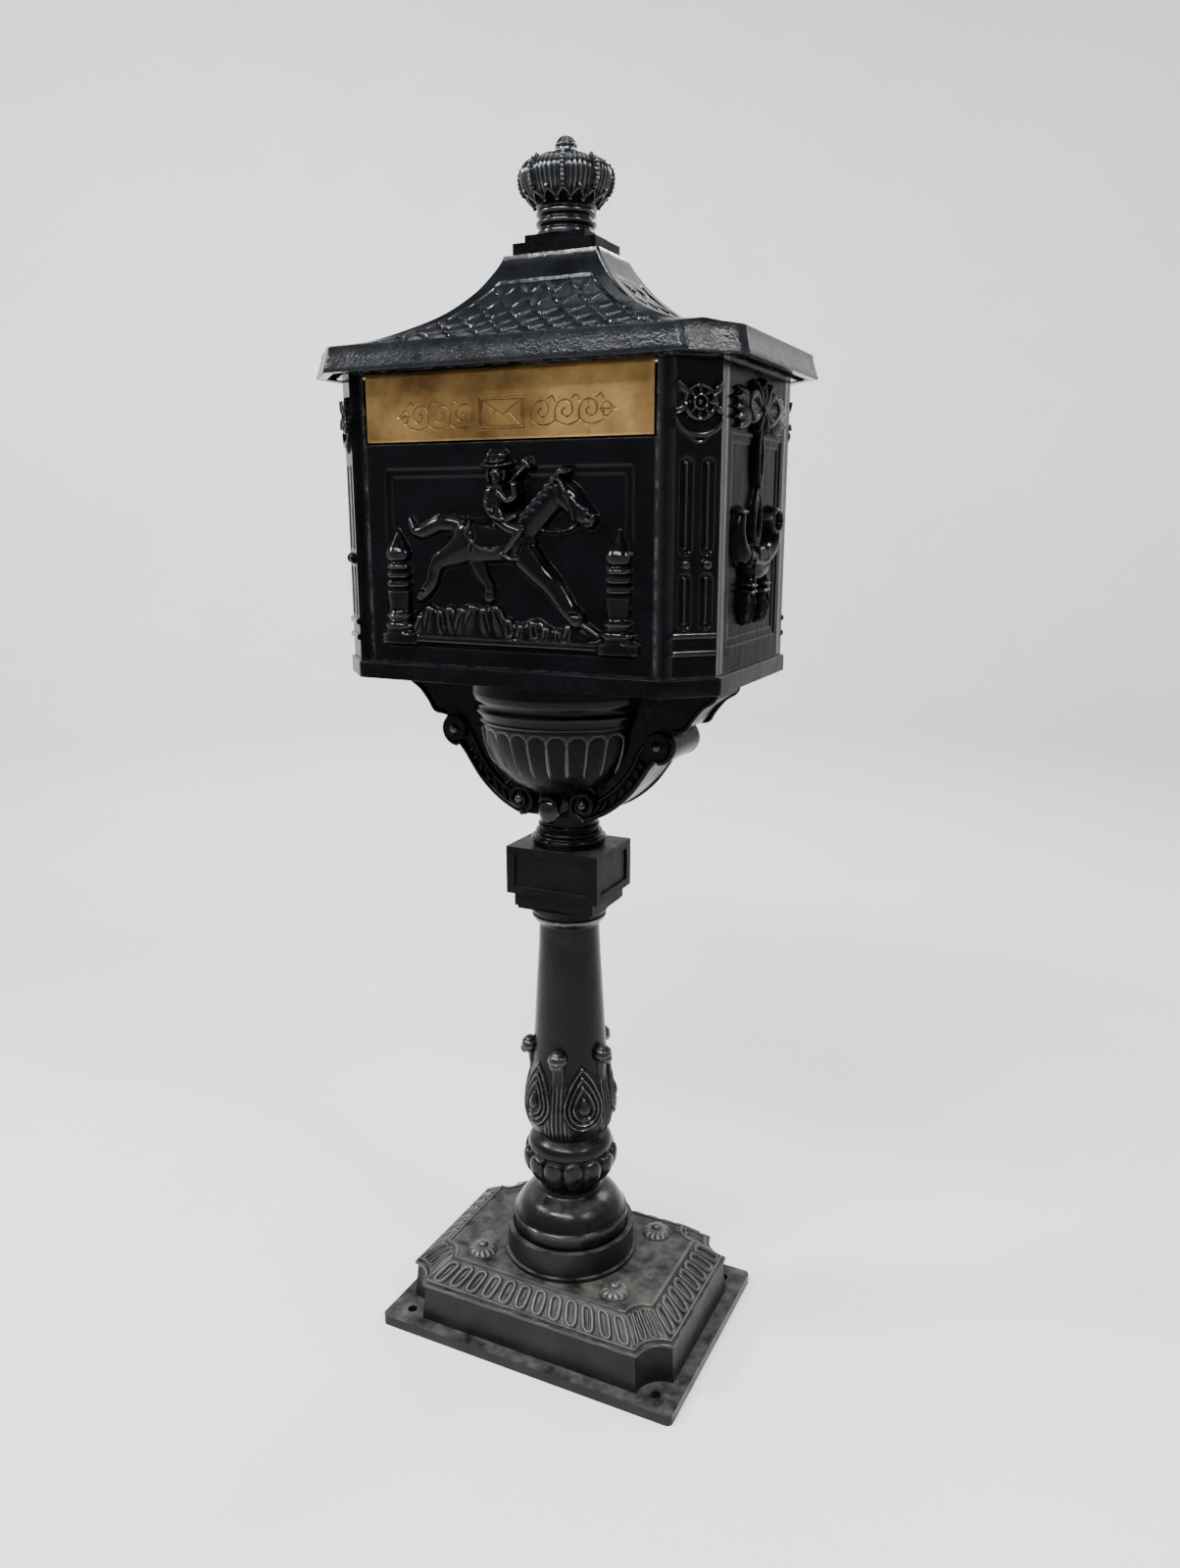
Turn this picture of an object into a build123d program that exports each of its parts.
"""Pedestal letterbox: hollow cast box with a hinged roof-height letter flap and a lockable rear door.

Frame: origin at the centre of the base underside, +X to the right along the front, -Y out of the front,
+Z up. Millimetres. Each sub-part below is one physical piece or one set of identical pieces.
"""
import os
from math import atan2, degrees

from build123d import *

os.makedirs("parts", exist_ok=True)

# ---- Driving dimensions -------------------------------------------------------------------------------
WALL = 6.0                                   # general casting wall
FIT = 0.06                                   # radial running clearance of pins that turn

# Base
PLATE_X, PLATE_Y, PLATE_T = 328.0, 236.0, 11.0
FIXING_X, FIXING_Y, FIXING_R = 280.0, 194.0, 5.0
PLINTH_X, PLINTH_Y, PLINTH_TOP = 150.0, 104.0, 50.0     # half sizes at the foot
SCOOP_R = 28.0                               # incurved plinth corners
LEDGE_T = 3.0
BORDER_TOP = 74.0                            # height of the flat above the sloping leaf border
TOP_X, TOP_Y, TOP_SCOOP_R = 118.0, 77.0, 20.0
COLLAR_R, COLLAR_TOP = 66.5, 104.0
SOCKET_R, SOCKET_Z = 61.0, 95.0
ROSETTE_X, ROSETTE_Y, ROSETTE_R = 77.0, 54.0, 14.0

# Column and capital
COLUMN_R, COLUMN_LIP = 60.0, 119.0
COLUMN_TOP = 448.0
BUD_COUNT, BUD_R, BUD_AT, BUD_Z = 5, 8.0, 40.0, 305.0
BUD_START = -9.0                             # bearing of the first bud
CAPITAL_RING_TOP, CAPITAL_TIER_TOP, CAPITAL_TOP = 459.5, 472.5, 520.0
TIER_X, TIER_Y = 42.5, 35.0
BLOCK_X, BLOCK_Y = 49.0, 39.0
ROD_R, ROD_CLEAR_R = 6.0, 6.5

# Bracket
BRACKET_TOP = 690.0
ARM_Y = 30.0                                 # half thickness of the scroll arms
VOLUTE_X, VOLUTE_Z, VOLUTE_R = 106.3, 630.5, 16.5
CURL_X, CURL_Z, CURL_R = 33.4, 569.0, 16.0
BOWL_R, BOWL_RIM = 84.0, 646.0

# Box: half sizes of canted rectangles, with the run of the cant along X and Y
TRAY_X, TRAY_Y, TRAY_CANT, TRAY_TOP = 184.0, 127.0, 37.0, 705.0
TRAY_FLOOR = 696.0
BODY_X, BODY_Y, BODY_CANT = 180.0, 118.0, 28.0
EAVE_Z = 951.0
PANEL_X, PANEL_Y = 137.0, 76.0               # seams between corner posts and panels
SEAM = 0.3
SILL_Z = 892.0                               # top of the front panel, under the flap

# Roof
EAVE_X, EAVE_Y, EAVE_CANT = 203.0, 138.0, 40.0
FASCIA_X, FASCIA_Y, FASCIA_TOP = 197.5, 134.0, 972.5
RIDGE_X, RIDGE_Y, ROOF_TOP = 46.5, 32.3, 1052.0
ROOF_WALL = 4.5
CAP_X, CAP_Y, CAP_STEP = 40.0, 26.0, 1063.0
CAP_UPPER_X, CAP_UPPER_Y, CAP_TOP = 29.0, 24.0, 1069.0
CROWN_TOP, KNOB_TOP = 1132.0, 1150.0
STUD_R = 3.0

# Letter flap
FLAP_X, FLAP_BOTTOM, FLAP_TOP = 134.6, 893.8, 950.0
FLAP_T = 2.0
FLAP_PIN_Y, FLAP_PIN_Z, FLAP_PIN_R = -116.2, 947.5, 1.5
FLAP_RETURN = 7.0                            # depth of the folded edges
FLAP_FOLD_DROP = 16.0                        # the end folds stop this far below the pin, clear of the roof

# Rear door and its hinges
DOOR_X, DOOR_BOTTOM, DOOR_TOP, DOOR_T = 112.0, 730.0, 925.0, 5.0
DOOR_GAP = 1.5
HINGE_X, HINGE_Y, KNUCKLE_R, HINGE_PIN_R = -111.25, 121.8, 3.5, 1.5
HINGE_Z = (770.0, 885.0)
HINGE_LENGTH, LEAF_W, LEAF_T = 40.0, 16.0, 1.6

# Lock
LOCK_X, LOCK_Z = 92.0, 828.0
LOCK_HEAD_R, LOCK_BODY_R, LOCK_PLUG_R = 11.0, 9.0, 6.0
LOCK_BACK = 97.0
CAM_T, CAM_LENGTH, CAM_W = 2.4, 30.0, 12.0


def canted(half_x, half_y, cant):
    """Rectangle with its four corners cut at 45 degrees."""
    with BuildSketch(mode=Mode.PRIVATE) as outline:
        rectangle = Rectangle(2 * half_x, 2 * half_y)
        chamfer(rectangle.vertices(), cant)
    return outline.sketch


def scooped(half_x, half_y, radius):
    """Rectangle whose corners are cut away by circles centred on them."""
    with BuildSketch(mode=Mode.PRIVATE) as outline:
        Rectangle(2 * half_x, 2 * half_y)
        with GridLocations(2 * half_x, 2 * half_y, 2, 2):
            Circle(radius, mode=Mode.SUBTRACT)
    return outline.sketch


def band(lower, low_z, upper, high_z, mode=Mode.ADD):
    """Loft between two flat outlines at two heights."""
    loft([Pos(0, 0, low_z) * lower, Pos(0, 0, high_z) * upper], mode=mode)


def slab(outline, low_z, high_z, mode=Mode.ADD):
    """Straight prism of an outline between two heights."""
    extrude(Pos(0, 0, low_z) * outline, amount=high_z - low_z, mode=mode)


def rod(x, y, radius, low_z, high_z, mode=Mode.ADD):
    """Upright cylinder between two heights."""
    with Locations((x, y, low_z)):
        Cylinder(radius, high_z - low_z, align=(Align.CENTER, Align.CENTER, Align.MIN), mode=mode)


def block(corner, opposite, mode=Mode.ADD):
    """Box given by two opposite corners."""
    with Locations(tuple((a + b) / 2 for a, b in zip(corner, opposite))):
        Box(*[abs(b - a) for a, b in zip(corner, opposite)], mode=mode)


def bar(plane, radius, length, mode=Mode.ADD):
    """Cylinder that starts on a plane and runs along its normal."""
    with BuildSketch(plane) as disc:
        Circle(radius)
    extrude(disc.sketch, amount=length, mode=mode)


def save(piece, name):
    """Label a finished piece and write its STEP file."""
    piece.part.label = name
    export_step(piece.part, f"parts/{name}.step")


# ---- Base ---------------------------------------------------------------------------------------------
LEDGE_Z = PLINTH_TOP + LEDGE_T
with BuildPart() as base_plinth:
    with BuildSketch():
        RectangleRounded(PLATE_X, PLATE_Y, 6)
    extrude(amount=PLATE_T)
    band(scooped(PLINTH_X, PLINTH_Y, SCOOP_R), PLATE_T,
         scooped(PLINTH_X - 3, PLINTH_Y - 3, SCOOP_R), PLINTH_TOP)
    slab(scooped(PLINTH_X - 1.5, PLINTH_Y - 1.5, SCOOP_R - 1), PLINTH_TOP, LEDGE_Z)
    band(scooped(PLINTH_X - 4, PLINTH_Y - 4, SCOOP_R - 1), LEDGE_Z,
         scooped(TOP_X, TOP_Y, TOP_SCOOP_R), BORDER_TOP)
    rod(0, 0, COLLAR_R + 3.5, BORDER_TOP, BORDER_TOP + 4)
    rod(0, 0, COLLAR_R, BORDER_TOP, COLLAR_TOP)
    with Locations(*[(x, y, BORDER_TOP) for x in (-ROSETTE_X, ROSETTE_X) for y in (-ROSETTE_Y, ROSETTE_Y)]):
        Cone(ROSETTE_R, ROSETTE_R - 5, 5, align=(Align.CENTER, Align.CENTER, Align.MIN))
        Cylinder(4, 8, align=(Align.CENTER, Align.CENTER, Align.MIN))
    # Hollow underside, open to the ground
    band(scooped(PLINTH_X - WALL, PLINTH_Y - WALL, SCOOP_R), 0,
         scooped(PLINTH_X - WALL - 3, PLINTH_Y - WALL - 3, SCOOP_R), PLINTH_TOP - 4, mode=Mode.SUBTRACT)
    band(scooped(PLINTH_X - WALL - 8, PLINTH_Y - WALL - 8, SCOOP_R - 2), PLINTH_TOP - 4,
         scooped(TOP_X - WALL, TOP_Y - WALL, TOP_SCOOP_R), BORDER_TOP - WALL, mode=Mode.SUBTRACT)
    rod(0, 0, COLLAR_R - WALL - 3, BORDER_TOP - WALL, SOCKET_Z - WALL, mode=Mode.SUBTRACT)
    # Socket that takes the foot of the column, and the hole for the tie rod
    rod(0, 0, SOCKET_R, SOCKET_Z, COLLAR_TOP, mode=Mode.SUBTRACT)
    rod(0, 0, ROD_CLEAR_R, SOCKET_Z - WALL, SOCKET_Z, mode=Mode.SUBTRACT)
    with GridLocations(FIXING_X, FIXING_Y, 2, 2):
        Cylinder(FIXING_R, 3 * PLATE_T, mode=Mode.SUBTRACT)
save(base_plinth, "base_plinth")

# ---- Column -------------------------------------------------------------------------------------------
with BuildPart() as column:
    with BuildSketch(Plane.XZ):
        with BuildLine():
            Line((0, SOCKET_Z), (COLUMN_R, SOCKET_Z))
            Line((COLUMN_R, SOCKET_Z), (COLUMN_R, COLUMN_LIP))
            ThreePointArc((COLUMN_R, COLUMN_LIP), (50, 136), (32, 146))          # bell
            ThreePointArc((32, 146), (47.5, 177), (43, 199))                     # gadrooned ring
            Line((43, 199), (41.5, 199))
            ThreePointArc((41.5, 199), (39.8, 206), (35, 210))                   # plain collar
            Line((35, 210), (35, 213))
            Spline((35, 213), (42.5, 223), (45.8, 241), (43, 270), (38.5, 290))  # leafy bulb
            ThreePointArc((38.5, 290), (33.5, 374), (30, 438))                   # tapered shaft
            ThreePointArc((30, 438), (32, 444), (37, 446))
            Line((37, 446), (37, COLUMN_TOP))
            Line((37, COLUMN_TOP), (0, COLUMN_TOP))
            Line((0, COLUMN_TOP), (0, SOCKET_Z))
        make_face()
    revolve(axis=Axis.Z)
    # Bore: a bell-shaped foot, then a straight core up to the closed neck
    with BuildSketch(Plane.XZ):
        Polygon((0, SOCKET_Z), (54, SOCKET_Z), (54, 115), (28, 142), (30, 300), (25, 440), (0, 440), align=None)
    revolve(axis=Axis.Z, mode=Mode.SUBTRACT)
    for turn in range(BUD_COUNT):
        radial = Vector(1, 0, 0).rotate(Axis.Z, BUD_START + turn * 360 / BUD_COUNT)
        bar(Plane(radial * (BUD_AT - 6) + Vector(0, 0, BUD_Z), z_dir=radial), BUD_R, 12)
    rod(0, 0, ROD_CLEAR_R, 430, COLUMN_TOP, mode=Mode.SUBTRACT)
save(column, "column")

# ---- Capital ------------------------------------------------------------------------------------------
with BuildPart() as capital:
    with Locations((0, 0, COLUMN_TOP)):
        Cone(35.5, 40, CAPITAL_RING_TOP - COLUMN_TOP - 3, align=(Align.CENTER, Align.CENTER, Align.MIN))
    block((-TIER_X + 3, -TIER_Y + 1, CAPITAL_RING_TOP - 3), (TIER_X - 3, TIER_Y - 1, CAPITAL_RING_TOP))
    block((-TIER_X, -TIER_Y, CAPITAL_RING_TOP), (TIER_X, TIER_Y, CAPITAL_TIER_TOP))
    block((-BLOCK_X, -BLOCK_Y, CAPITAL_TIER_TOP), (BLOCK_X, BLOCK_Y, CAPITAL_TOP))
    panel_low, panel_high = CAPITAL_TIER_TOP + 8, CAPITAL_TOP - 8
    for side in (-1, 1):
        block((-BLOCK_X + 9, side * BLOCK_Y, panel_low), (BLOCK_X - 9, side * (BLOCK_Y - 2), panel_high),
              mode=Mode.SUBTRACT)
        block((side * BLOCK_X, -BLOCK_Y + 9, panel_low), (side * (BLOCK_X - 2), BLOCK_Y - 9, panel_high),
              mode=Mode.SUBTRACT)
    # Hollow from below, closed at the top
    rod(0, 0, 26, COLUMN_TOP, CAPITAL_RING_TOP, mode=Mode.SUBTRACT)
    block((-TIER_X + 9, -TIER_Y + 8, CAPITAL_RING_TOP), (TIER_X - 9, TIER_Y - 8, CAPITAL_TOP - 8),
          mode=Mode.SUBTRACT)
    rod(0, 0, ROD_CLEAR_R, CAPITAL_TOP - 8, CAPITAL_TOP, mode=Mode.SUBTRACT)
save(capital, "capital")

# ---- Bracket ------------------------------------------------------------------------------------------
def arm_outline(inset=0.0):
    """Front view of the scroll arms: cyma ends, large volutes, C curve, small volutes and neck."""
    top_x = 160 - inset
    with BuildSketch(Plane.XZ, mode=Mode.PRIVATE) as outline:
        with BuildLine():
            top = Line((0, BRACKET_TOP), (top_x, BRACKET_TOP))
            drop = Line(top @ 1, (top_x, 676))
            cyma = ThreePointArc(drop @ 1, (147 - inset, 668), (135 - inset, 655))
            neck = ThreePointArc(cyma @ 1, (130 - inset, 648), (VOLUTE_X + 10 - inset, 642))
            into = Line(neck @ 1, (VOLUTE_X - 8 - inset, 612))
            curve = ThreePointArc(into @ 1, (70 - 0.7 * inset, 575 + 0.7 * inset), (CURL_X, 553 + inset))
            foot = Line(curve @ 1, (0, 553 + inset))
            Line(foot @ 1, (0, BRACKET_TOP))
        make_face()
        mirror(about=Plane.YZ)
        with Locations(*[(side * VOLUTE_X, VOLUTE_Z) for side in (-1, 1)]):
            Circle(VOLUTE_R - inset)
        with Locations(*[(side * CURL_X, CURL_Z) for side in (-1, 1)]):
            Circle(CURL_R - inset)
    return outline.sketch


with BuildPart() as bracket:
    extrude(arm_outline(), amount=ARM_Y, both=True)
    # Raised eyes of the volutes on the front and the back
    for side in (-1, 1):
        for centre_x, centre_z, radius in ((VOLUTE_X, VOLUTE_Z, VOLUTE_R), (CURL_X, CURL_Z, CURL_R)):
            with BuildSketch(Plane.XZ):
                with Locations((side * centre_x, centre_z)):
                    Circle(radius - 5)
            extrude(amount=ARM_Y + 6, both=True)
    # Neck, half bowl and rim mouldings
    with BuildSketch(Plane.XZ):
        with BuildLine():
            Line((0, CAPITAL_TOP), (35, CAPITAL_TOP))
            Line((35, CAPITAL_TOP), (35, 526))
            ThreePointArc((35, 526), (30, 531), (28, 539))
            ThreePointArc((28, 539), (30, 556), (40, 574))
            ThreePointArc((40, 574), (72, 604), (BOWL_R, BOWL_RIM))
            Line((BOWL_R, BOWL_RIM), (BOWL_R + 3, BOWL_RIM + 5))
            Line((BOWL_R + 3, BOWL_RIM + 5), (BOWL_R + 3, 662))
            Line((BOWL_R + 3, 662), (BOWL_R + 8, 672))
            Line((BOWL_R + 8, 672), (BOWL_R + 8, BRACKET_TOP))
            Line((BOWL_R + 8, BRACKET_TOP), (0, BRACKET_TOP))
            Line((0, BRACKET_TOP), (0, CAPITAL_TOP))
        make_face()
    revolve(axis=Axis.Z)
    # Hollow, open at the top
    extrude(arm_outline(inset=WALL), amount=ARM_Y - WALL, both=True, mode=Mode.SUBTRACT)
    with BuildSketch(Plane.XZ):
        with BuildLine():
            Line((0, 566), (30, 566))
            ThreePointArc((30, 566), (65, 608), (BOWL_R - 8, BOWL_RIM))
            Line((BOWL_R - 8, BOWL_RIM), (BOWL_R, BRACKET_TOP))
            Line((BOWL_R, BRACKET_TOP), (0, BRACKET_TOP))
            Line((0, BRACKET_TOP), (0, 566))
        make_face()
    revolve(axis=Axis.Z, mode=Mode.SUBTRACT)
    # Bosses across the arms for the tray bolts
    for side in (-1, 1):
        block((side * 108, -ARM_Y + 4, BRACKET_TOP - 12), (side * 128, ARM_Y - 4, BRACKET_TOP))
        rod(side * 118, 0, 3.0, BRACKET_TOP - 12, BRACKET_TOP, mode=Mode.SUBTRACT)
    rod(0, 0, ROD_CLEAR_R, CAPITAL_TOP, 566, mode=Mode.SUBTRACT)
save(bracket, "bracket")

# ---- Screws that join the walls -----------------------------------------------------------------------
SCREW_R, SCREW_BITE = 1.8, 3.5               # shank radius and depth in a wall
CLEAT_T, CLEAT_W = 3.0, 18.0
HEAD_R, HEAD_H = 3.2, 1.8
WALL_SCREW_Z = (735.0, 865.0)
CLEAT_LOW, CLEAT_HIGH = 720.0, 880.0
ROOF_CLEAT_Y, ROOF_SCREW_Z = 40.0, (944.0, 958.0)
POST_HEAD_R, POST_HEAD_T, POST_SCREW_TOP = 3.4, 3.0, 725.0
SIGNS = [(side_x, side_y) for side_x in (-1, 1) for side_y in (-1, 1)]
POST_SCREWS = [(side_x * x, side_y * y) for side_x, side_y in SIGNS
               for x, y in ((143, BODY_Y - WALL / 2), (BODY_X - WALL / 2, 83))]


def wall_plane(x, y, z):
    """Plane on the inner face of a wall, facing out through it."""
    if abs(x) > PANEL_X + WALL:
        return Plane((x, y, z), z_dir=(1 if x > 0 else -1, 0, 0))
    return Plane((x, y, z), z_dir=(0, 1 if y > 0 else -1, 0))


INNER_X, INNER_Y = BODY_X - WALL, BODY_Y - WALL
WALL_SCREWS = [
    wall_plane(x, y, z) for side_x, side_y in SIGNS for z in WALL_SCREW_Z for step in (-4.5, 4.5)
    for x, y in ((side_x * PANEL_X + step, side_y * INNER_Y), (side_x * INNER_X, side_y * PANEL_Y + step))
]
ROOF_SCREWS = [wall_plane(side_x * INNER_X, side_y * ROOF_CLEAT_Y, z)
               for side_x, side_y in SIGNS for z in ROOF_SCREW_Z]


def wall_holes(screws):
    """Holes for the screw shanks in whatever wall they enter."""
    for screw in screws:
        bar(screw, SCREW_R, SCREW_BITE, mode=Mode.SUBTRACT)


def wall_screw(screw):
    """Pan head screw: its shank runs through a cleat and into the wall."""
    bar(screw.offset(-CLEAT_T), SCREW_R, CLEAT_T + SCREW_BITE)
    bar(screw.offset(-CLEAT_T), HEAD_R, -HEAD_H)


# ---- Tray: the floor of the box -----------------------------------------------------------------------
with BuildPart() as floor_tray:
    slab(canted(TRAY_X, TRAY_Y, TRAY_CANT), BRACKET_TOP, TRAY_TOP)
    fillet(floor_tray.edges().filter_by(Axis.Z), 6)
    chamfer(floor_tray.edges().group_by(Axis.Z)[-1], 1.2)
    slab(canted(BODY_X - 14, BODY_Y - 14, 26), TRAY_FLOOR, TRAY_TOP, mode=Mode.SUBTRACT)
    rod(0, 0, ROD_CLEAR_R, BRACKET_TOP, TRAY_FLOOR, mode=Mode.SUBTRACT)
    for side in (-1, 1):
        rod(side * 118, 0, 3.5, BRACKET_TOP, TRAY_FLOOR, mode=Mode.SUBTRACT)
    for x, y in POST_SCREWS:
        rod(x, y, SCREW_R, BRACKET_TOP, TRAY_TOP, mode=Mode.SUBTRACT)
        rod(x, y, POST_HEAD_R, BRACKET_TOP, BRACKET_TOP + POST_HEAD_T, mode=Mode.SUBTRACT)
save(floor_tray, "floor_tray")

# ---- Corner posts -------------------------------------------------------------------------------------
CANT_MID = (BODY_X - BODY_CANT / 2, BODY_Y - BODY_CANT / 2)
WALL_RUN = WALL * (2 ** 0.5 - 1)             # how far a 45 degree corner shifts for one wall


def corner_post(side_x, side_y):
    """Angle post with a canted pilaster face: rosette, two bosses and two foot bars."""
    section = [
        (PANEL_X, BODY_Y), (BODY_X - BODY_CANT, BODY_Y), (BODY_X, BODY_Y - BODY_CANT), (BODY_X, PANEL_Y),
        (BODY_X - WALL, PANEL_Y), (BODY_X - WALL, BODY_Y - BODY_CANT - WALL_RUN),
        (BODY_X - BODY_CANT - WALL_RUN, BODY_Y - WALL), (PANEL_X, BODY_Y - WALL),
    ]
    outward = (side_x, side_y, 0)
    face = Plane(origin=(side_x * CANT_MID[0], side_y * CANT_MID[1], 0), z_dir=outward,
                 x_dir=(-side_y, side_x, 0))
    rise = 1 if face.y_dir.Z > 0 else -1
    with BuildPart() as post:
        with BuildSketch(Plane.XY.offset(TRAY_TOP)):
            Polygon(*[(side_x * x, side_y * y) for x, y in section], align=None)
        extrude(amount=EAVE_Z - TRAY_TOP)
        with BuildSketch(face):
            with Locations((0, rise * 926)):
                Circle(15)
        extrude(amount=5)
        for across in (-8, 8):
            with BuildSketch(face):
                with Locations((across, rise * 791)):
                    Circle(4.5)
            extrude(amount=4)
        for height in (722, 738):
            with BuildSketch(face):
                with Locations((0, rise * height)):
                    Rectangle(34, 6)
            extrude(amount=2)
        # Two flutes up the pilaster
        for across in (-8, 8):
            with BuildSketch(face):
                with Locations((across, rise * 855)):
                    SlotOverall(96, 7, rotation=90)
            extrude(amount=-1.5, mode=Mode.SUBTRACT)
        if side_y < 0:
            bar(Plane((side_x * (PANEL_X - 1), FLAP_PIN_Y, FLAP_PIN_Z), z_dir=(side_x, 0, 0)),
                FLAP_PIN_R, 6, mode=Mode.SUBTRACT)
        wall_holes(WALL_SCREWS)
        for x, y in POST_SCREWS:
            rod(x, y, SCREW_R, TRAY_TOP, POST_SCREW_TOP, mode=Mode.SUBTRACT)
    return post


for end_name, side_y in (("front", -1), ("rear", 1)):
    for hand_name, side_x in (("left", -1), ("right", 1)):
        save(corner_post(side_x, side_y), f"corner_post_{end_name}_{hand_name}")

# ---- Front panel with the post rider relief -----------------------------------------------------------
def limb(plane, start, end, radius, height):
    """Rounded bar of relief between two points of a panel face."""
    run = Vector(*end) - Vector(*start)
    with BuildSketch(plane) as outline:
        with Locations(Vector(*start) + run / 2):
            SlotCenterToCenter(run.length, 2 * radius, rotation=degrees(atan2(run.Y, run.X)))
    extrude(outline.sketch, amount=height)


FIELD_DEPTH = 2.0
front_face = Plane.XZ.offset(BODY_Y - FIELD_DEPTH)       # floor of the recessed field, X right, Z up
with BuildPart() as front_panel:
    block((-PANEL_X + SEAM, -BODY_Y, TRAY_TOP), (PANEL_X - SEAM, -BODY_Y + WALL, SILL_Z))
    block((-PANEL_X + 17, -BODY_Y, TRAY_TOP + 11), (PANEL_X - 17, -BODY_Y + FIELD_DEPTH, SILL_Z - 20),
          mode=Mode.SUBTRACT)
    limb(front_face, (-28, 814), (14, 812), 15, 7)           # horse: barrel
    limb(front_face, (16, 816), (52, 850), 9, 6)             # neck
    limb(front_face, (58, 852), (79, 832), 7, 6)             # head
    limb(front_face, (-40, 822), (-86, 822), 5, 5)           # tail
    limb(front_face, (12, 804), (66, 752), 5, 6)             # foreleg
    limb(front_face, (-36, 808), (-64, 800), 7, 6)           # hind leg
    limb(front_face, (-67, 798), (-78, 766), 4, 5)
    limb(front_face, (-4, 828), (-3, 850), 8, 8)             # rider
    limb(front_face, (-4, 862), (-4, 878), 8, 8)             # head and hat
    limb(front_face, (12, 860), (25, 874), 5, 6)             # horn
    limb(front_face, (-90, 742), (86, 738), 7, 4)            # rocks
    limb(front_face, (-88, 727), (92, 727), 3.5, 4)          # ground bar
    for post_x in (-107, 105):                               # turned gateposts
        limb(front_face, (post_x, 732), (post_x, 796), 9, 7)
        limb(front_face, (post_x, 796), (post_x, 812), 4, 7)
    wall_holes(WALL_SCREWS)
save(front_panel, "front_panel")

# ---- Side panels --------------------------------------------------------------------------------------
def side_panel(side_x):
    """Side wall with a recessed field and a hanging post horn in relief."""
    half = PANEL_Y - SEAM
    field = Plane(origin=(side_x * (BODY_X - FIELD_DEPTH), 0, 0), z_dir=(side_x, 0, 0), x_dir=(0, side_x, 0))
    with BuildPart() as panel:
        block((side_x * BODY_X, -half, TRAY_TOP), (side_x * (BODY_X - WALL), half, EAVE_Z))
        block((side_x * BODY_X, -half + 12, TRAY_TOP + 12),
              (side_x * (BODY_X - FIELD_DEPTH), half - 12, EAVE_Z - 14), mode=Mode.SUBTRACT)
        limb(field, (-32, 917), (32, 917), 13, 8)            # leaf cluster
        limb(field, (0, 912), (0, 832), 5, 5)                # cord
        limb(field, (-36, 815), (36, 815), 15, 9)            # looped horn
        limb(field, (-16, 787), (16, 787), 9, 8)             # knot
        for side in (-1, 1):                                 # tassels
            limb(field, (side * 18, 772), (side * 20, 755), 9, 8)
        wall_holes(WALL_SCREWS + ROOF_SCREWS)
    return panel


save(side_panel(-1), "side_panel_left")
save(side_panel(1), "side_panel_right")

# ---- Hinge details shared by the rear frame, the door and the leaves ----------------------------------
KNUCKLE_GAP = 0.3
MIDDLE = HINGE_LENGTH / 3                                 # height of the door's knuckle
LEAF_CLEAR = KNUCKLE_R + 0.5
LEAF_SCREW_R = 1.7


def knuckle(z_low, z_high, bore):
    """One hinge knuckle around the pin."""
    rod(HINGE_X, HINGE_Y, KNUCKLE_R, z_low, z_high)
    rod(HINGE_X, HINGE_Y, bore, z_low, z_high, mode=Mode.SUBTRACT)


def leaf_screws(z, side):
    """Two screws through a leaf, with heads on its face."""
    for dz in (-12, 12):
        head = Plane((HINGE_X + side * 10, BODY_Y + LEAF_T, z + dz), z_dir=(0, 1, 0))
        bar(head, 3.0, 1.2)
        bar(Plane(head.origin, z_dir=(0, -1, 0)), LEAF_SCREW_R, LEAF_T + 3)


def leaf_holes(z, side):
    """Holes for those two screws."""
    for dz in (-12, 12):
        bar(Plane((HINGE_X + side * 10, BODY_Y + LEAF_T, z + dz), z_dir=(0, -1, 0)), LEAF_SCREW_R,
            LEAF_T + 3, mode=Mode.SUBTRACT)


# ---- Rear frame ---------------------------------------------------------------------------------------
KEEPER_Z = 28.0
with BuildPart() as rear_frame:
    block((-PANEL_X + SEAM, BODY_Y - WALL, TRAY_TOP), (PANEL_X - SEAM, BODY_Y, EAVE_Z))
    block((-DOOR_X, BODY_Y - WALL, DOOR_BOTTOM), (DOOR_X, BODY_Y, DOOR_TOP), mode=Mode.SUBTRACT)
    # Keeper tab: the lock cam turns in behind it
    block((DOOR_X, LOCK_BACK + 0.4, LOCK_Z - KEEPER_Z), (DOOR_X + 4, BODY_Y - WALL, LOCK_Z + KEEPER_Z))
    for z in HINGE_Z:
        leaf_holes(z, -1)
    wall_holes(WALL_SCREWS)
save(rear_frame, "rear_frame")

# ---- Rear door ----------------------------------------------------------------------------------------
DOOR_BACK = BODY_Y - DOOR_T
with BuildPart() as rear_door:
    block((-DOOR_X + DOOR_GAP, DOOR_BACK, DOOR_BOTTOM + DOOR_GAP),
          (DOOR_X - DOOR_GAP, BODY_Y, DOOR_TOP - DOOR_GAP))
    block((-DOOR_X + 24, BODY_Y - FIELD_DEPTH, DOOR_BOTTOM + 18), (DOOR_X - 36, BODY_Y, DOOR_TOP - 18),
          mode=Mode.SUBTRACT)
    bar(Plane((LOCK_X, BODY_Y + 1, LOCK_Z), z_dir=(0, -1, 0)), LOCK_BODY_R, DOOR_T + 2, mode=Mode.SUBTRACT)
    for z in HINGE_Z:
        leaf_holes(z, 1)
save(rear_door, "rear_door")

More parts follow.
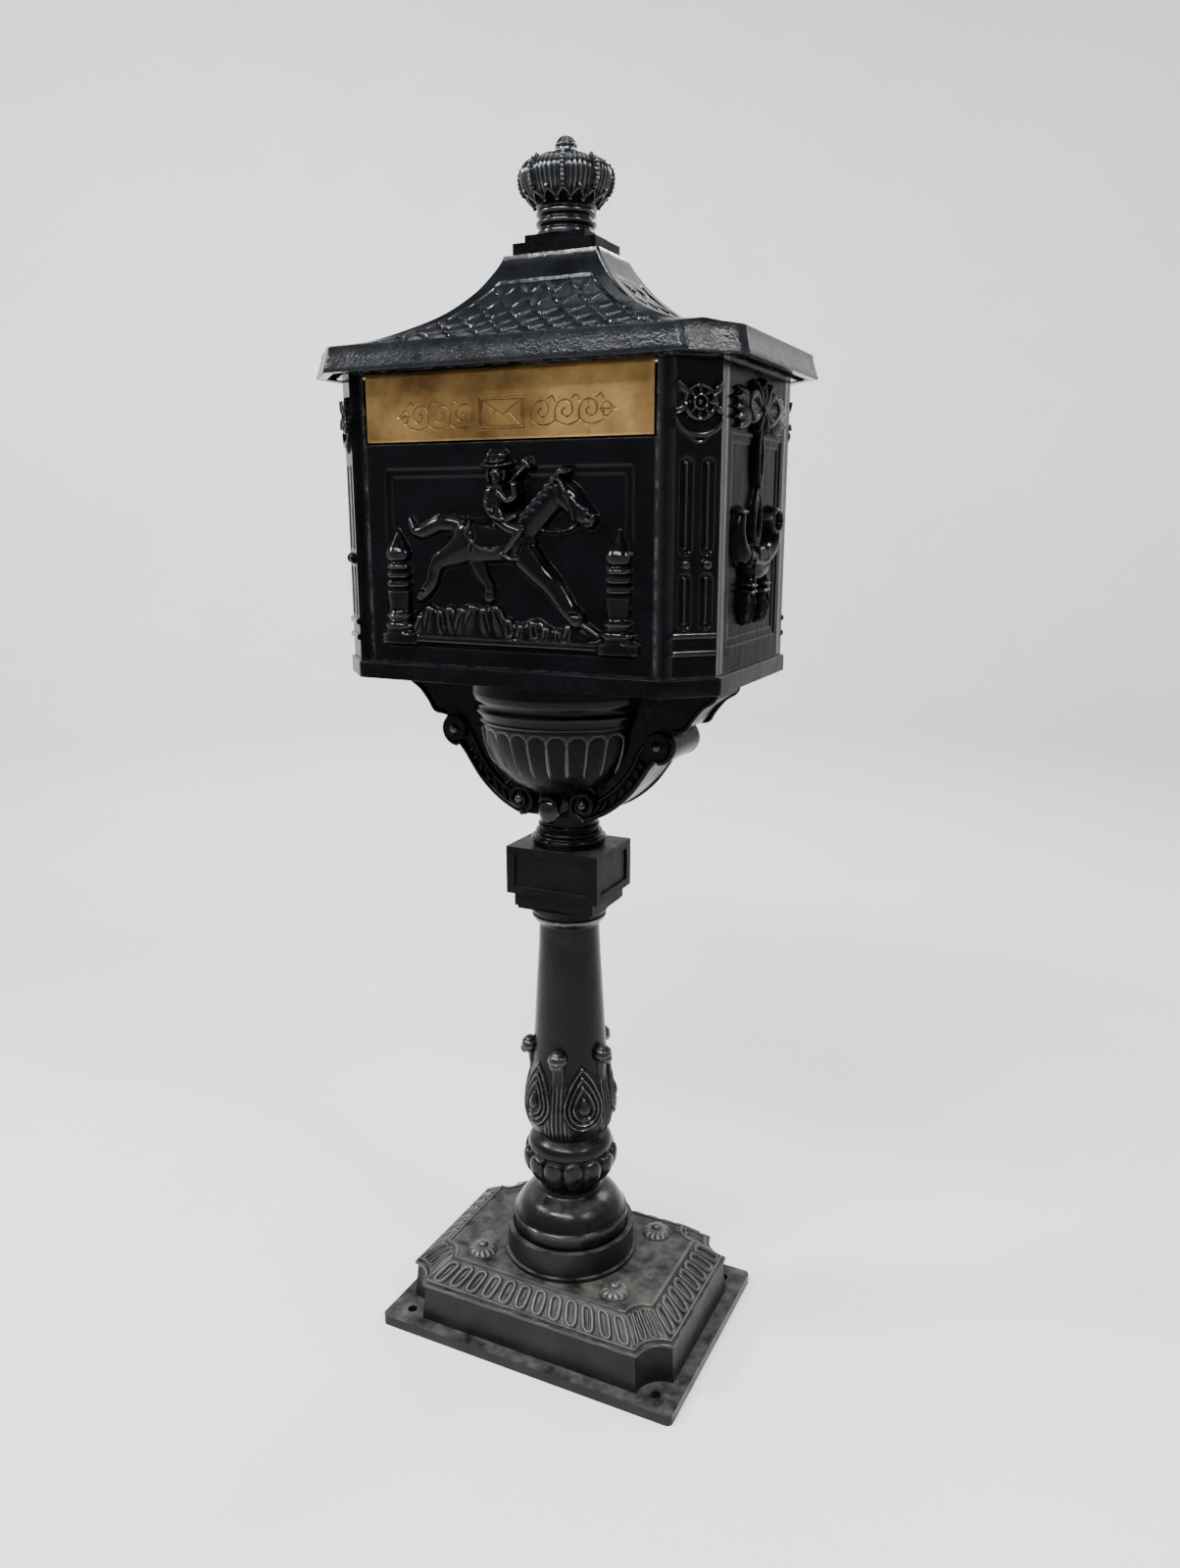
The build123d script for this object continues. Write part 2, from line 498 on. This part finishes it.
# ---- Door hinges --------------------------------------------------------------------------------------
with BuildPart() as hinge_frame_leaves:
    for z in HINGE_Z:
        low, high = z - HINGE_LENGTH / 2, z + HINGE_LENGTH / 2
        block((HINGE_X - LEAF_W, BODY_Y, low), (HINGE_X, BODY_Y + LEAF_T, high))
        block((HINGE_X - LEAF_CLEAR, BODY_Y, z - MIDDLE / 2), (HINGE_X, BODY_Y + LEAF_T, z + MIDDLE / 2),
              mode=Mode.SUBTRACT)
        knuckle(low, z - MIDDLE / 2, HINGE_PIN_R)
        knuckle(z + MIDDLE / 2, high, HINGE_PIN_R)
        leaf_holes(z, -1)
save(hinge_frame_leaves, "hinge_frame_leaves")

with BuildPart() as hinge_door_leaves:
    for z in HINGE_Z:
        low, high = z - HINGE_LENGTH / 2, z + HINGE_LENGTH / 2
        inner_low, inner_high = z - MIDDLE / 2 + KNUCKLE_GAP, z + MIDDLE / 2 - KNUCKLE_GAP
        block((HINGE_X + LEAF_CLEAR, BODY_Y, low), (HINGE_X + LEAF_W, BODY_Y + LEAF_T, high))
        block((HINGE_X + 2, BODY_Y + 0.4, inner_low), (HINGE_X + LEAF_CLEAR, BODY_Y + LEAF_T, inner_high))
        knuckle(inner_low, inner_high, HINGE_PIN_R + FIT)
        leaf_holes(z, 1)
save(hinge_door_leaves, "hinge_door_leaves")

with BuildPart() as door_hinge_pins:
    for z in HINGE_Z:
        rod(HINGE_X, HINGE_Y, HINGE_PIN_R, z - HINGE_LENGTH / 2, z + HINGE_LENGTH / 2)
        rod(HINGE_X, HINGE_Y, 2.6, z + HINGE_LENGTH / 2, z + HINGE_LENGTH / 2 + 1.5)
save(door_hinge_pins, "door_hinge_pins")

for owner, side in (("frame", -1), ("door", 1)):
    with BuildPart() as hinge_screws:
        for z in HINGE_Z:
            leaf_screws(z, side)
    save(hinge_screws, f"hinge_{owner}_screws")

# ---- Lock ---------------------------------------------------------------------------------------------
lock_face = Plane((LOCK_X, BODY_Y, LOCK_Z), z_dir=(0, 1, 0))
lock_inward = Plane((LOCK_X, BODY_Y, LOCK_Z), z_dir=(0, -1, 0))
LOCK_DEPTH = BODY_Y - LOCK_BACK
HEAD_T = 2.0
CAM_GAP = 0.2
CAM_FRONT = LOCK_BACK - CAM_GAP
with BuildPart() as lock_housing:
    bar(lock_face, LOCK_HEAD_R, HEAD_T)
    bar(lock_inward, LOCK_BODY_R, LOCK_DEPTH)
    bar(lock_face.offset(HEAD_T), LOCK_PLUG_R + FIT, -(LOCK_DEPTH + HEAD_T), mode=Mode.SUBTRACT)
save(lock_housing, "lock_housing")

with BuildPart() as lock_nut:
    with BuildSketch(Plane((LOCK_X, DOOR_BACK, LOCK_Z), z_dir=(0, -1, 0))):
        RegularPolygon(12.5, 6)
        Circle(LOCK_BODY_R, mode=Mode.SUBTRACT)
    extrude(amount=5)
save(lock_nut, "lock_nut")

with BuildPart() as lock_plug:
    bar(lock_face.offset(HEAD_T - 0.5), LOCK_PLUG_R, -(BODY_Y + HEAD_T - 0.5 - CAM_FRONT))
    bar(Plane((LOCK_X, CAM_FRONT, LOCK_Z), z_dir=(0, -1, 0)), 4.0, CAM_T)
    with BuildSketch(lock_face.offset(HEAD_T)):
        Rectangle(7, 1.6)
    extrude(amount=-9, mode=Mode.SUBTRACT)
    bar(Plane((LOCK_X, CAM_FRONT - CAM_T, LOCK_Z), z_dir=(0, 1, 0)), 1.8, 6, mode=Mode.SUBTRACT)
save(lock_plug, "lock_plug")

with BuildPart() as lock_cam:
    with BuildSketch(Plane((LOCK_X, CAM_FRONT, LOCK_Z + CAM_LENGTH / 2 - CAM_W / 4), z_dir=(0, -1, 0),
                           x_dir=(0, 0, 1))):
        SlotOverall(CAM_LENGTH + CAM_W / 2, CAM_W)
    extrude(amount=CAM_T)
    bar(Plane((LOCK_X, CAM_FRONT + 1, LOCK_Z), z_dir=(0, -1, 0)), 4.0, CAM_T + 2, mode=Mode.SUBTRACT)
save(lock_cam, "lock_cam")

with BuildPart() as lock_cam_screw:
    bar(Plane((LOCK_X, CAM_FRONT - CAM_T, LOCK_Z), z_dir=(0, -1, 0)), 5.5, 1.8)
    bar(Plane((LOCK_X, CAM_FRONT - CAM_T, LOCK_Z), z_dir=(0, 1, 0)), 1.8, 6)
save(lock_cam_screw, "lock_cam_screw")

# ---- Letter flap --------------------------------------------------------------------------------------
flap_pin_start = Plane((-FLAP_X, FLAP_PIN_Y, FLAP_PIN_Z), z_dir=(1, 0, 0))
with BuildPart() as letter_flap:
    block((-FLAP_X, -BODY_Y, FLAP_BOTTOM), (FLAP_X, -BODY_Y + FLAP_T, FLAP_PIN_Z))
    bar(flap_pin_start, FLAP_TOP - FLAP_PIN_Z, 2 * FLAP_X)
    # Edges folded inward along the bottom and both ends
    block((-FLAP_X, -BODY_Y, FLAP_BOTTOM), (FLAP_X, -BODY_Y + FLAP_T + FLAP_RETURN, FLAP_BOTTOM + FLAP_T))
    for side in (-1, 1):
        block((side * FLAP_X, -BODY_Y, FLAP_BOTTOM),
              (side * (FLAP_X - FLAP_T), -BODY_Y + FLAP_T + FLAP_RETURN, FLAP_PIN_Z - FLAP_FOLD_DROP))
    bar(flap_pin_start, FLAP_PIN_R + FIT, 2 * FLAP_X, mode=Mode.SUBTRACT)
save(letter_flap, "letter_flap")

with BuildPart() as flap_pin:
    bar(Plane((-PANEL_X - 5, FLAP_PIN_Y, FLAP_PIN_Z), z_dir=(1, 0, 0)), FLAP_PIN_R, 2 * (PANEL_X + 5))
save(flap_pin, "flap_pin")

# ---- Roof ---------------------------------------------------------------------------------------------
def roof_slope(plane, half_top, half_eave, depth, drop=0.0):
    """Prism whose section is the concave roof slope, cut square at the top and along the eave."""
    span = half_eave - half_top
    with BuildPart(mode=Mode.PRIVATE) as slope:
        with BuildSketch(plane):
            with BuildLine():
                ridge = Line((0, ROOF_TOP - drop), (half_top, ROOF_TOP - drop))
                shoulder = Line(ridge @ 1, (half_top + 1.5, ROOF_TOP - 4 - drop))
                sweep_line = ThreePointArc(shoulder @ 1, (half_top + 0.29 * span, 1004 - drop),
                                           (half_top + 0.66 * span, 980 - drop))
                toe = Line(sweep_line @ 1, (half_eave, FASCIA_TOP - drop))
                edge = Line(toe @ 1, (half_eave, EAVE_Z))
                base = Line(edge @ 1, (0, EAVE_Z))
                Line(base @ 1, (0, ROOF_TOP - drop))
            make_face()
            mirror(about=Plane.YZ)
        extrude(amount=depth, both=True)
    return slope.part


def roof_body(shrink=0.0):
    """Hipped roof: the slopes of the long and the short sides meet in the hips."""
    long_way = roof_slope(Plane.XZ, RIDGE_X - shrink, FASCIA_X - shrink, FASCIA_Y + 20, shrink)
    short_way = roof_slope(Plane.YZ, RIDGE_Y - shrink, FASCIA_Y - shrink, FASCIA_X + 20, shrink)
    return long_way & short_way


with BuildPart() as roof:
    add(roof_body())
    slab(canted(FASCIA_X, FASCIA_Y, EAVE_CANT), EAVE_Z, ROOF_TOP, mode=Mode.INTERSECT)
    band(canted(EAVE_X, EAVE_Y, EAVE_CANT), EAVE_Z, canted(FASCIA_X, FASCIA_Y, EAVE_CANT), FASCIA_TOP)
    # Hollow inside the walls, and a channel under the eave outside them
    with BuildPart(mode=Mode.PRIVATE) as roof_core:
        add(roof_body(shrink=ROOF_WALL))
        slab(canted(BODY_X - WALL, BODY_Y - WALL, BODY_CANT - 3), EAVE_Z, ROOF_TOP, mode=Mode.INTERSECT)
    add(roof_core.part, mode=Mode.SUBTRACT)
    with BuildPart(mode=Mode.PRIVATE) as eave_channel:
        slab(canted(EAVE_X - 9, EAVE_Y - 8, EAVE_CANT - 4), EAVE_Z, EAVE_Z + 15)
        slab(canted(BODY_X + 5, BODY_Y + 5, BODY_CANT + 3), EAVE_Z, EAVE_Z + 15, mode=Mode.SUBTRACT)
    add(eave_channel.part, mode=Mode.SUBTRACT)
    rod(0, 0, STUD_R + 0.2, ROOF_TOP - 2 * ROOF_WALL, ROOF_TOP, mode=Mode.SUBTRACT)
    wall_holes(ROOF_SCREWS)
save(roof, "roof")

with BuildPart() as roof_cap:
    block((-CAP_X, -CAP_Y, ROOF_TOP), (CAP_X, CAP_Y, CAP_STEP))
    block((-CAP_UPPER_X, -CAP_UPPER_Y, CAP_STEP), (CAP_UPPER_X, CAP_UPPER_Y, CAP_TOP))
    rod(0, 0, STUD_R + 0.2, ROOF_TOP, CAP_TOP, mode=Mode.SUBTRACT)
save(roof_cap, "roof_cap")

# ---- Crown and its fixing -----------------------------------------------------------------------------
with BuildPart() as crown:
    with BuildSketch(Plane.XZ):
        with BuildLine():
            Line((0, CAP_TOP), (26, CAP_TOP))
            ThreePointArc((26, CAP_TOP), (24.5, 1076), (26, 1084))
            ThreePointArc((26, 1084), (39, 1111), (23, 1131))
            Line((23, 1131), (12, CROWN_TOP - 2))
            Line((12, CROWN_TOP - 2), (0, CROWN_TOP - 2))
            Line((0, CROWN_TOP - 2), (0, CAP_TOP))
        make_face()
    revolve(axis=Axis.Z)
    with BuildSketch(Plane.XZ):
        Polygon((0, CAP_TOP), (18, CAP_TOP), (20, 1086), (29, 1104), (26, 1118), (0, 1118), align=None)
    revolve(axis=Axis.Z, mode=Mode.SUBTRACT)
    rod(0, 0, STUD_R + 0.2, 1116, CROWN_TOP, mode=Mode.SUBTRACT)
save(crown, "crown")

with BuildPart() as crown_knob:
    rod(0, 0, 11, CROWN_TOP - 2, CROWN_TOP + 3)
    with BuildSketch(Plane.XZ):
        with BuildLine():
            Line((0, CROWN_TOP + 3), (9.5, CROWN_TOP + 3))
            Spline((9.5, CROWN_TOP + 3), (8.4, 1141), (5.6, 1147), (0, KNOB_TOP), tangents=((0, 1), (-1, 0)))
            Line((0, KNOB_TOP), (0, CROWN_TOP + 3))
        make_face()
    revolve(axis=Axis.Z)
    rod(0, 0, STUD_R, CROWN_TOP - 2, 1140, mode=Mode.SUBTRACT)
save(crown_knob, "crown_knob")

STUD_FOOT = 1034.0
ROOF_CEILING = ROOF_TOP - ROOF_WALL
with BuildPart() as crown_stud:
    rod(0, 0, STUD_R, STUD_FOOT, 1140)
save(crown_stud, "crown_stud")

with BuildPart() as crown_washer:
    rod(0, 0, 9, ROOF_CEILING - 1.6, ROOF_CEILING)
    rod(0, 0, STUD_R, ROOF_CEILING - 1.6, ROOF_CEILING, mode=Mode.SUBTRACT)
save(crown_washer, "crown_washer")


def hex_nut(x, y, bottom, height, across, bore):
    """Hexagon nut standing on a height."""
    with BuildSketch(Plane.XY.offset(bottom)) as hexagon:
        with Locations((x, y)):
            RegularPolygon(across / 2, 6, major_radius=False)
            Circle(bore, mode=Mode.SUBTRACT)
    extrude(hexagon.sketch, amount=height)


with BuildPart() as crown_nut:
    hex_nut(0, 0, ROOF_CEILING - 6.6, 5, 10, STUD_R)
save(crown_nut, "crown_nut")

# ---- Tie rod that clamps the pedestal together --------------------------------------------------------
SOCKET_CEILING = SOCKET_Z - WALL
WASHER_T, NUT_H = 2.5, 10.0
with BuildPart() as tie_rod:
    rod(0, 0, ROD_R, SOCKET_CEILING - WASHER_T - NUT_H - 4, TRAY_FLOOR + WASHER_T + NUT_H + 2)
save(tie_rod, "tie_rod")

with BuildPart() as tie_rod_washers:
    for low in (SOCKET_CEILING - WASHER_T, TRAY_FLOOR):
        rod(0, 0, 18, low, low + WASHER_T)
    rod(0, 0, ROD_R, 0, EAVE_Z, mode=Mode.SUBTRACT)
save(tie_rod_washers, "tie_rod_washers")

with BuildPart() as tie_rod_nuts:
    hex_nut(0, 0, SOCKET_CEILING - WASHER_T - NUT_H, NUT_H, 19, ROD_R)
    hex_nut(0, 0, TRAY_FLOOR + WASHER_T, NUT_H, 19, ROD_R)
save(tie_rod_nuts, "tie_rod_nuts")

# ---- Bolts and screws ---------------------------------------------------------------------------------
with BuildPart() as bracket_bolts:
    for side in (-1, 1):
        with BuildSketch(Plane.XY.offset(TRAY_FLOOR)):
            with Locations((side * 118, 0)):
                RegularPolygon(5, 6, major_radius=False)
        extrude(amount=4)
        rod(side * 118, 0, 3.0, BRACKET_TOP - 10, TRAY_FLOOR)
save(bracket_bolts, "bracket_bolts")

with BuildPart() as post_screws:
    for x, y in POST_SCREWS:
        rod(x, y, POST_HEAD_R, BRACKET_TOP, BRACKET_TOP + POST_HEAD_T)
        rod(x, y, SCREW_R, BRACKET_TOP + POST_HEAD_T, POST_SCREW_TOP)
save(post_screws, "post_screws")

with BuildPart() as panel_cleats:
    for side_x, side_y in SIGNS:
        block((side_x * (PANEL_X - CLEAT_W / 2), side_y * INNER_Y, CLEAT_LOW),
              (side_x * (PANEL_X + CLEAT_W / 2), side_y * (INNER_Y - CLEAT_T), CLEAT_HIGH))
        block((side_x * INNER_X, side_y * (PANEL_Y - CLEAT_W / 2), CLEAT_LOW),
              (side_x * (INNER_X - CLEAT_T), side_y * (PANEL_Y + CLEAT_W / 2), CLEAT_HIGH))
    for screw in WALL_SCREWS:
        bar(screw, SCREW_R, -CLEAT_T, mode=Mode.SUBTRACT)
save(panel_cleats, "panel_cleats")

with BuildPart() as panel_screws:
    for screw in WALL_SCREWS:
        wall_screw(screw)
save(panel_screws, "panel_screws")

with BuildPart() as roof_cleats:
    for side_x, side_y in SIGNS:
        block((side_x * INNER_X, side_y * (ROOF_CLEAT_Y - 9), ROOF_SCREW_Z[0] - 7),
              (side_x * (INNER_X - CLEAT_T), side_y * (ROOF_CLEAT_Y + 9), ROOF_SCREW_Z[1] + 6))
    for screw in ROOF_SCREWS:
        bar(screw, SCREW_R, -CLEAT_T, mode=Mode.SUBTRACT)
save(roof_cleats, "roof_cleats")

with BuildPart() as roof_screws:
    for screw in ROOF_SCREWS:
        wall_screw(screw)
save(roof_screws, "roof_screws")
